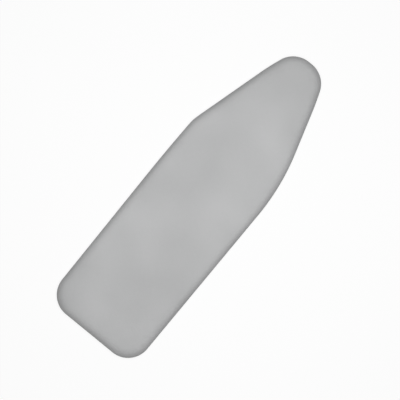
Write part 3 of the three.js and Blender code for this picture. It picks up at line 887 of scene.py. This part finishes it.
def first_folds(laid, flat):
    """Push of the folds that would take up what each ring has to spare, in even waves."""
    phase = np.interp(SLID_HEM, EVEN_LAPS, PHASE_LAPS)
    phase_step = np.interp(SLID_HEM, EVEN_LAPS, np.gradient(PHASE_LAPS, SAMPLE))
    hem_step = np.diff(SLID_HEM, append=SLID_HEM[0] + HEM_LENGTH)
    steps = step_lengths(laid)
    spare = step_lengths(flat) / steps - 1
    wave = steps * math.tau / (hem_step * np.abs(phase_step))
    tall = np.minimum(wave / math.pi * np.sqrt(np.maximum(spare, 0)), FOLD_GUESS)
    held = smooth(np.arange(len(laid)) / (TURN_ROWS + 1))
    return held[:, None] * tall * (np.sin(phase) + SECOND_FOLD * np.sin(2 * phase + SECOND_FOLD_LAG))


def settle(rings, flat, held):
    """Settles gathered rings as cloth that has the lengths of the flat sheet and is held by some rows."""
    rows, columns = rings.shape[:2]
    faces = grid_faces(rows, columns, columns_closed=True)
    mesh = bpy.data.meshes.new("settling_cloth")
    mesh.from_pydata((rings * SETTLE_SCALE).reshape(-1, 3).tolist(), [], faces.tolist())
    cloth = added("settling_cloth", mesh)
    cloth.shape_key_add(name="gathered")
    sheet = cloth.shape_key_add(name="flat_sheet")
    sheet.data.foreach_set("co", (flat * SETTLE_SCALE).astype(np.float32).ravel())
    pins = cloth.vertex_groups.new(name="held")
    for row, weight in enumerate(held):
        if weight:
            pins.add(range(row * columns, (row + 1) * columns), weight, "REPLACE")
    motion = cloth.modifiers.new("settling", "CLOTH")
    fabric = adjusted(motion.settings, **FABRIC, vertex_group_mass="held", rest_shape_key=sheet)
    fabric.effector_weights.gravity = 0
    motion.collision_settings.use_collision = False
    motion.point_cache.frame_end = SETTLE_FRAMES
    for moment in range(1, SETTLE_FRAMES + 1):
        SCENE.frame_set(moment)
    settled = cloth.evaluated_get(bpy.context.evaluated_depsgraph_get()).data
    places = np.empty(rows * columns * 3, np.float32)
    settled.vertices.foreach_get("co", places)
    bpy.data.objects.remove(cloth)
    SCENE.frame_set(1)
    return places.reshape(rows, columns, 3).astype(float) / SETTLE_SCALE


def eased(values):
    """Values of rows of stations, each drawn half-way to the mean of its two neighbours."""
    return (np.roll(values, 1, axis=1) + 2 * values + np.roll(values, -1, axis=1)) / 4


def fold_limits():
    """How far the folds of each loose row may stand out: least at the side and beside the binding."""
    free_end = len(LOOSE_ROWS) - HELD_AT_HEM - 1
    return np.interp(
        np.arange(len(LOOSE_ROWS)),
        (0, TURN_ROWS, TURN_ROWS + LIMIT_ROWS, free_end - LIMIT_ROWS, free_end),
        (0, TURN_LIMIT, FLANGE_LIMIT, FLANGE_LIMIT, HEM_LIMIT),
    )


def gathered_rings():
    """Rings of the cloth from the side to the hem, with the gathers that the cord draws in."""
    flat = np.array([at(inset, 0) for inset in CUT_INSETS[ROLL_ROWS:]])
    laid = loose_rings(np.zeros((len(LOOSE_ROWS), 1)))
    rings = loose_rings(first_folds(laid, flat))
    laid[-HELD_AT_HEM:, :, 2] = HEM_LEVEL + round_hem(HEM_WAVE, LOOSE_HEM[-HELD_AT_HEM:])
    rings[-HELD_AT_HEM:] = laid[-HELD_AT_HEM:]
    held = np.zeros(len(LOOSE_ROWS))
    held[:len(HELD_AT_SIDE)] = HELD_AT_SIDE
    held[-HELD_AT_HEM:] = 1
    rings = settle(rings, flat, held)
    shift = eased(rings - laid)
    reach = np.maximum(np.linalg.norm(shift, axis=-1), TINY)
    rings = laid + shift * np.minimum(1, fold_limits()[:, None] / reach)[:, :, None]
    rings[TURN_ROWS + 1:, :, 2] = np.clip(rings[TURN_ROWS + 1:, :, 2], FOLD_FLOOR, FOLD_CEILING)
    return rings


def top_cover():
    face = face_rows(COVER_TOP)
    rolled = [at(*place) for place in SECTION[1:ROLL_ROWS]]
    rows = np.array([*face, *rolled, *gathered_rings()])
    uv = closed_uv([*face, *(at(inset, 0) for inset in CUT_INSETS[1:])])
    lift = smooth((rows[:, :, 2] - SIDE_HEIGHT) / ROLL_HEIGHT)
    rows[:, :, 2] += lift * swell(rows[:, :, 0], rows[:, :, 1])
    patches = [patch(rows, uv, first_cap=infill(rows[0]))]
    made = piece("top_cover_cloth", patches, [SILVER, COTTON], "cover", sharp=180)
    shell = made.modifiers.new("thickness", "SOLIDIFY")
    adjusted(shell, thickness=CLOTH_THICKNESS, offset=-1, material_offset=1, material_offset_rim=1)
    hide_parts("top_cover")


# The two pads under the cloth
def pad(name, rows, look):
    """A closed pad over rows of rings, from the middle of its top to the middle of its underside."""
    rows = np.array(rows)
    cap = infill(rows[0])
    patches = [patch(rows, closed_uv(rows), first_cap=cap, last_cap=cap)]
    return piece(name, patches, [look], "cover")


def foam_padding():
    depth = CLOTH_THICKNESS + CLOTH_FIT
    bottom = math.acos((FOAM_BOTTOM - SIDE_HEIGHT) / (ROLL_HEIGHT - depth))
    top = face_rows(COVER_TOP - depth)
    edge = [at(*roll_point(angle, depth)) for angle in np.linspace(0, bottom, ROLL_ROWS)[1:]]
    under = face_rows(FOAM_BOTTOM)[::-1]
    made = pad("foam_padding", [*top, *edge, *under], FOAM)
    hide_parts("foam_pad")


def felt_edge():
    """Inset and height round the felt's edge: a soft shoulder above and a small heel below."""
    level = FELT_LOW.z + FELT_HEEL
    rows = []
    for angle in np.linspace(math.pi / 2, 0, SHOULDER_STEPS):
        rows.append((FELT_SHOULDER * (1 - math.cos(angle)), blend(level, FELT_HIGH.z, math.sin(angle))))
    for angle in np.linspace(0, math.pi / 2, HEEL_STEPS)[1:]:
        rows.append((FELT_HEEL * (1 - math.cos(angle)), blend(level, FELT_LOW.z, math.sin(angle))))
    return [(FELT_INSET + inset, height) for inset, height in rows]


def felt_layer():
    """The felt: flat on top, soft edges and a slightly uneven underside."""
    top = face_rows(FELT_HIGH.z)
    edge = [at(*place) for place in felt_edge()]
    under = np.array(face_rows(FELT_LOW.z)[::-1])
    under[:, :, 2] += np.abs(swell(under[:, :, 0], under[:, :, 1]))
    made = pad("felt_layer", [*top, *edge, *under], FELT)
    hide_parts("felt_pad")


# Binding: two leaves over the edge of the cloth and a tube for the cord, open at the straps
def joint(name):
    return next(j for j in frame["joints"] if j["name"] == name)


STRAP_PLACES = {name: Vector(joint(f"strap_{name}_swing")["pos_m"]) for name in STRAPS}
BAR_PLACES = {name: Vector(joint(f"hook_{name}_pivot")["pos_m"]) for name in STRAPS}


def hem_run(start, end, step):
    """Even places along the hem."""
    return np.linspace(start, end, math.ceil((end - start) / step) + 1)


TAPE_PLACES = hem_run(0, MOUTH_PLACE, TAPE_STEP)
TAPE_LEVEL = HEM_MIDDLE + round_hem(HEM_WAVE, TAPE_PLACES)


def leaf(side):
    """One leaf of the tape, above (1) or below (-1) the cloth."""
    middle, top = blend(LEAF_START, LEAF_END, 0.5), LEAF_GAP + TAPE_THICKNESS
    section = (
        (LEAF_START, LEAF_GAP), (LEAF_START - LEAF_ROUND, blend(LEAF_GAP, top, 0.5)), (LEAF_START, top),
        (middle, top), (LEAF_END, top), (LEAF_END, LEAF_GAP), (middle, LEAF_GAP),
    )
    columns = [beside_hem(TAPE_PLACES, inset, TAPE_LEVEL + side * off) for inset, off in section]
    points = np.stack(columns, 1)
    if side < 0:
        points = points[:, ::-1]
    return tube(points, tube_uv(points[:, 0], 2 * (LEAF_END - LEAF_START), len(section)))


def tube_section(places, half_width, half_height, squareness=1, ruche=0):
    """Rows of points round the tube: an oval between an ellipse and a box, drawn in by the ruche."""
    columns = []
    for angle in math.tau * np.arange(TUBE_SIDES) / TUBE_SIDES:
        cosine, sine = math.cos(angle), math.sin(angle)
        across = math.copysign(abs(cosine) ** squareness, cosine) * half_width
        up = math.copysign(abs(sine) ** squareness, sine) * half_height
        shrink = 1 - ruche * blend(1, math.cos(RUCHE_LOBES * angle), RUCHE_UNEVEN)
        columns.append(beside_hem(places, CORD_INSET + across * shrink, HEM_MIDDLE + up * shrink))
    return np.stack(columns, 1)


def channel(start, end):
    """A stretch of the tape's tube, with the bore for the cord."""
    places = hem_run(start, end, TAPE_STEP)
    ruche = round_hem(RUCHE, places)
    outer = tube_section(places, TUBE_HALF_WIDTH, TUBE_HALF_HEIGHT, TUBE_SQUARENESS, ruche)
    bore = tube_section(places, CHANNEL_HALF_WIDTH, CHANNEL_HALF_HEIGHT)
    points = np.concatenate((outer, bore[::-1]))[:, ::-1]
    path = np.vstack((points[:, 0], points[0, 0]))
    return patch(points, tube_uv(path, math.tau * TUBE_HALF_WIDTH, TUBE_SIDES), rows_closed=True)


def strap_crossings():
    """Places round the hem where the straps meet the cord."""
    ring = FINE_PLACES + FINE_INWARD * CORD_INSET
    crossings = []
    for place in STRAP_PLACES.values():
        for side in (-1, 1):
            away = np.abs(ring[:, 0] - place.x) + np.where(side * ring[:, 1] > 0, 0, HEM_LENGTH)
            crossings.append(HEM_TRAVEL[np.argmin(away)])
    return sorted(crossings)


def hem_binding():
    ends = [0]
    for place in strap_crossings():
        ends += [place - WINDOW_LENGTH / 2, place + WINDOW_LENGTH / 2]
    ends.append(MOUTH_PLACE)
    patches = [leaf(1), leaf(-1)]
    patches += [channel(start, end) for start, end in zip(ends[::2], ends[1::2])]
    made = piece("hem_binding_tape", patches, [TAPE], "cover")
    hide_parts("hem_binding")


# Stitches: short threads that dip into the cloth at both ends
def stitch(centre, forward, outward, size):
    place, width = np.array(STITCH_PROFILE).T[:, :, None]
    sunk = centre - outward * size.radius * STITCH_SINK * (2 * place) ** 2
    path = sunk + forward * place * size.length
    rows = tube_rows(path, np.cross(outward, forward), outward, size.radius * width[:, None], STITCH_SIDES)
    return tube(rows, np.zeros((len(rows), STITCH_SIDES + 1, 2)))


def stitch_row(path, side, size):
    """Stitches along a line of points, on the upper (1) or lower (-1) face of what they hold."""
    distance = travel(path)
    count = max(1, round(distance[-1] / size.pitch))
    patches = []
    for middle in distance[-1] * (np.arange(count) + 0.5) / count:
        tips = (middle - size.length / 2, middle + size.length / 2)
        start, end = points_at(tips, distance, path)
        patches.append(stitch((start + end) / 2, unit(end - start), np.array((0, 0, side)), size))
    return patches


def hem_stitches():
    patches = []
    for side in (1, -1):
        level = TAPE_LEVEL + side * (LEAF_GAP + TAPE_THICKNESS)
        patches += stitch_row(beside_hem(TAPE_PLACES, STITCH_INSET, level), side, HEM_STITCHING)
    piece("hem_stitches", patches, [SEWING], "cover")


# Cord through the hem, with both ends through the lock into the bell
def cord_lead(side):
    hem_x = TAIL_X + CORD_INSET
    run = np.linspace(BELL_START + CORD_POCKET, hem_x + CORD_BEND, LEAD_STEPS)[:-1]
    share = np.linspace(0, 1, BEND_STEPS)
    angle = share * math.pi / 2
    x = hem_x + CORD_BEND * (1 - np.sin(angle))
    y = side * (CORD_OFFSET + CORD_BEND * (1 - np.cos(angle)))
    bend = joined(x, y, blend(LOCK_HEIGHT, HEM_MIDDLE, smooth(share)))
    return np.vstack((joined(run, side * CORD_OFFSET, LOCK_HEIGHT), bend))


def draw_cord():
    hem = beside_hem(hem_run(0, MOUTH_PLACE, CORD_STEP), CORD_INSET, HEM_MIDDLE)
    path = np.vstack((cord_lead(-1), hem, cord_lead(1)[::-1]))
    forward = unit(np.gradient(path, axis=0))
    across = unit(np.cross((0, 0, 1), forward))
    points = tube_rows(path, across, np.cross(forward, across), CORD_RADIUS, CORD_SIDES)
    uv = tube_uv(path, math.tau * CORD_RADIUS, CORD_SIDES)
    made = piece("draw_cord_braid", [tube(points, uv)], [CORD], "cover")
    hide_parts("draw_cord")


# Moulded parts and the spring of the lock
def mould(node, edge):
    """A moulded part keeps its solid, with softened edges."""
    made = frame["nodes"][node]
    made.data.materials.clear()
    made.data.materials.append(PLASTIC)
    made.modifiers.new("weld", "WELD").merge_threshold = 0.002 * MM
    bevel = made.modifiers.new("soft_edges", "BEVEL")
    adjusted(bevel, width=edge, segments=3, limit_method="ANGLE", angle_limit=math.radians(32))
    made.data.shade_smooth()


def lock_spring():
    centre = (SPRING_LOW + SPRING_HIGH) / 2
    radius = (SPRING_HIGH.x - SPRING_LOW.x) / 2 - SPRING_WIRE
    share = np.linspace(0, 1, round(SPRING_TURNS * SPRING_STEPS) + 1)
    angle = math.tau * SPRING_TURNS * share
    facing = joined(np.cos(angle), 0, np.sin(angle))
    path = np.array(centre) + radius * facing
    path[:, 1] = blend(SPRING_LOW.y + SPRING_WIRE, SPRING_HIGH.y - SPRING_WIRE, share)
    points = tube_rows(path, facing, (0, 1, 0), SPRING_WIRE, SPRING_SIDES)
    uv = tube_uv(path, math.tau * SPRING_WIRE, SPRING_SIDES)
    made = piece("lock_spring_wire", [tube(points, uv)], [STEEL], "cord_lock")
    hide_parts("cord_lock_spring")
    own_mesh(made)


# Straps: one band of webbing that goes round the cord and the bar and is sewn back on itself
def neck(start, start_way, end, end_way):
    """Points of a soft bend from one place and direction to another, without the two ends."""
    pull = NECK_PULL * np.linalg.norm(end - start)
    share = np.linspace(0, 1, NECK_STEPS + 2)[1:-1, None]
    bend = [start, start + start_way * pull, end - end_way * pull, end]
    while len(bend) > 1:
        bend = [blend(before, after, share) for before, after in zip(bend, bend[1:])]
    return bend[0]


def strap_path(length):
    """Middle line of the webbing, seen along the cover: across from the cord, and up."""
    angles = np.linspace(math.pi + LOOP_OPENING, 3 * math.pi - LOOP_OPENING, LOOP_STEPS)
    loop = LOOP_RADIUS * joined(np.cos(angles), np.sin(angles))
    ways = joined(-np.sin(angles), np.cos(angles))
    sewn = np.array((-SEWN_LENGTH, -LAYER))
    lower = np.array((-NECK_LENGTH, -LAYER))
    upper = np.array((-NECK_LENGTH, LAYER))
    to_cord = np.array((1, 0))
    cord_end = np.vstack((
        np.linspace(sewn, lower, SEWN_STEPS),
        neck(lower, to_cord, loop[0], ways[0]),
        loop,
        neck(loop[-1], ways[-1], upper, -to_cord),
        upper,
    ))
    bar_end = cord_end[::-1] * (-1, 1) - (length, 0)
    crossing = np.linspace(upper, bar_end[0], round(length / STRAP_STEP))[1:-1]
    return np.vstack((cord_end, crossing, bar_end))


def strap_section():
    """Outline of the webbing's cut end: flat, with rounded selvedges."""
    half, thick = STRAP_WIDTH / 2, WEBBING / 2
    across = np.linspace(SELVEDGE - half, half - SELVEDGE, STRAP_COLUMNS)
    top = [(x, thick) for x in across[::-1]]
    bottom = [(x, -thick) for x in across]
    return np.array([(half, 0), *top, (-half, 0), *bottom])


def tension_strap(name):
    cord, bar = STRAP_PLACES[name], BAR_PLACES[name]
    path = strap_path(cord.y - bar.y)
    ahead, rise = unit(np.gradient(path, axis=0)).T[:, :, None]
    across, thick = strap_section().T
    y, z = path[:, :1] - rise * thick, path[:, 1:] + ahead * thick
    rows = np.array(cord) + joined(across, y, z)
    uv = strip_uv(travel(path), np.append(across, across[0]))
    body = f"strap_{name}"
    made = piece(f"strap_webbing_{name}", [tube(rows, uv)], [ELASTIC], body, sharp=60)
    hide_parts(f"tension_strap_{name}")
    sewing = strap_stitches(cord, -1) + strap_stitches(bar, 1)
    piece(f"strap_stitches_{name}", sewing, [SEWING], body)


def strap_stitches(place, way):
    """A sewn box with a cross in it, to the left (1) or right (-1) of a place, seen on both faces."""
    near, far = way * SEAM_NEAR, way * SEAM_FAR
    half = SEAM_HALF_WIDTH
    patches = []
    for side in (1, -1):
        up = side * (LAYER + WEBBING / 2)
        box = np.array(((-half, near, up), (half, near, up), (half, far, up), (-half, far, up)))
        for ends in SEAM_LINES:
            patches += stitch_row(np.array(place) + box[list(ends)], side, STRAP_STITCHING)
    return patches


# Blank label: a limp tag that curls a little
def care_label():
    width, length = LABEL_HIGH.y - LABEL_LOW.y, LABEL_HIGH.x - LABEL_LOW.x
    along = np.linspace(0, 1, LABEL_ROWS)[:, None]
    across = np.linspace(-0.5, 0.5, LABEL_COLUMNS)
    x = LABEL_LOW.x + along * length * LABEL_REACH
    y = (LABEL_LOW.y + LABEL_HIGH.y) / 2 + across * width
    curl = LABEL_RISE * smooth(along) * np.cos(across * LABEL_CURVE) - LABEL_DROOP * along ** 3
    middle = joined(x, y, HEM_MIDDLE + curl)
    thickness = np.array((0, 0, LABEL_HALF_THICKNESS))
    rows = np.concatenate((middle + thickness, middle[:, ::-1] - thickness), axis=1)
    around = np.concatenate((across, across[::-1], across[:1])) * width
    uv = strip_uv(along[:, 0] * length, around)
    made = piece("care_label_tag", [tube(rows, uv)], [SATIN], "cover")
    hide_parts("care_label")


# Floor, light and camera
def shown(graph):
    """A factor that is 1 for what is looked at, mirrored or seen through."""
    ray = graph.node("LightPath").outputs
    looked_at = graph.math("MAXIMUM", ray["Is Camera Ray"], ray["Is Glossy Ray"])
    return graph.math("MAXIMUM", looked_at, ray["Is Transmission Ray"])


def white_floor():
    """Paper that keeps a soft shadow, glows white where it is looked at and is clear from below."""
    look = bpy.data.materials.new("white_floor")
    graph = Graph(look)
    graph.tree.nodes.clear()
    paper = graph.node("BsdfDiffuse", FLOOR_COLOUR).outputs[0]
    glow = graph.node("Emission").outputs[0]
    clear = graph.node("BsdfTransparent").outputs[0]
    lit = graph.mix(graph.math("MULTIPLY", shown(graph), FLOOR_GLOW), paper, glow)
    from_below = graph.node("NewGeometry").outputs["Backfacing"]
    graph.node("OutputMaterial", graph.mix(from_below, lit, clear))
    return look


def floor():
    mesh = bpy.data.meshes.new("floor")
    corners = [(x * FLOOR_HALF, y * FLOOR_HALF, 0) for x, y in ((-1, -1), (1, -1), (1, 1), (-1, 1))]
    mesh.from_pydata(corners, [], [range(len(corners))])
    mesh.materials.append(white_floor())
    made = adjusted(added("floor", mesh), visible_diffuse=False, visible_shadow=False)


def daylight():
    """A room that looks white and lights the object a little from all sides."""
    world = bpy.data.worlds.new("white_room")
    SCENE.world = world
    graph = Graph(world)
    graph.tree.nodes.clear()
    seen = graph.node("Background", ROOM_COLOUR, 1).outputs[0]
    cast = graph.node("Background", ROOM_COLOUR, ROOM_LIGHT).outputs[0]
    graph.node("OutputWorld", graph.mix(shown(graph), cast, seen))


def softbox(name, place, target, size, power):
    lamp = bpy.data.lights.new(name, "AREA")
    adjusted(lamp, shape="SQUARE", size=size, energy=power)
    aim = (Vector(target) - Vector(place)).to_track_quat("-Z", "Y")
    adjusted(added(name, lamp), location=place, rotation_mode="QUATERNION", rotation_quaternion=aim)


def camera():
    lens = bpy.data.cameras.new("camera")
    made = added("camera", lens)
    lens.lens = lens.sensor_width * CAMERA_HEIGHT / FRAME_WIDTH
    lens.clip_end = 100
    roll = Matrix.Rotation(-COVER_HEADING, 4, "Z")
    pixel = FRAME_WIDTH / PHOTO_SIZE
    shift = Vector((PHOTO_SIZE / 2 - COVER_PIXEL[0], COVER_PIXEL[1] - PHOTO_SIZE / 2, 0)) * pixel
    made.matrix_world = roll @ Matrix.Translation(shift + Vector((0, 0, CAMERA_HEIGHT + SIDE_HEIGHT)))
    SCENE.camera = made


camera()
floor()
daylight()
softbox("overhead", place=(0.11, -0.03, 2.2), target=(0.11, -0.03, 0), size=1.3, power=38)
softbox("underneath", place=(0, 0, -2.4), target=(0, 0, 0), size=1.8, power=42)
top_cover()
foam_padding()
felt_layer()
hem_binding()
hem_stitches()
draw_cord()
lock_spring()
for strap in STRAPS:
    tension_strap(strap)
    mould(f"strap_hook_{strap}", HOOK_EDGE)
for part in ("cord_lock_body", "cord_lock_plunger", "cord_end"):
    mould(part, LOCK_EDGE)
care_label()

SCENE.view_settings.view_transform = "Standard"
bpy.context.view_layer.update()
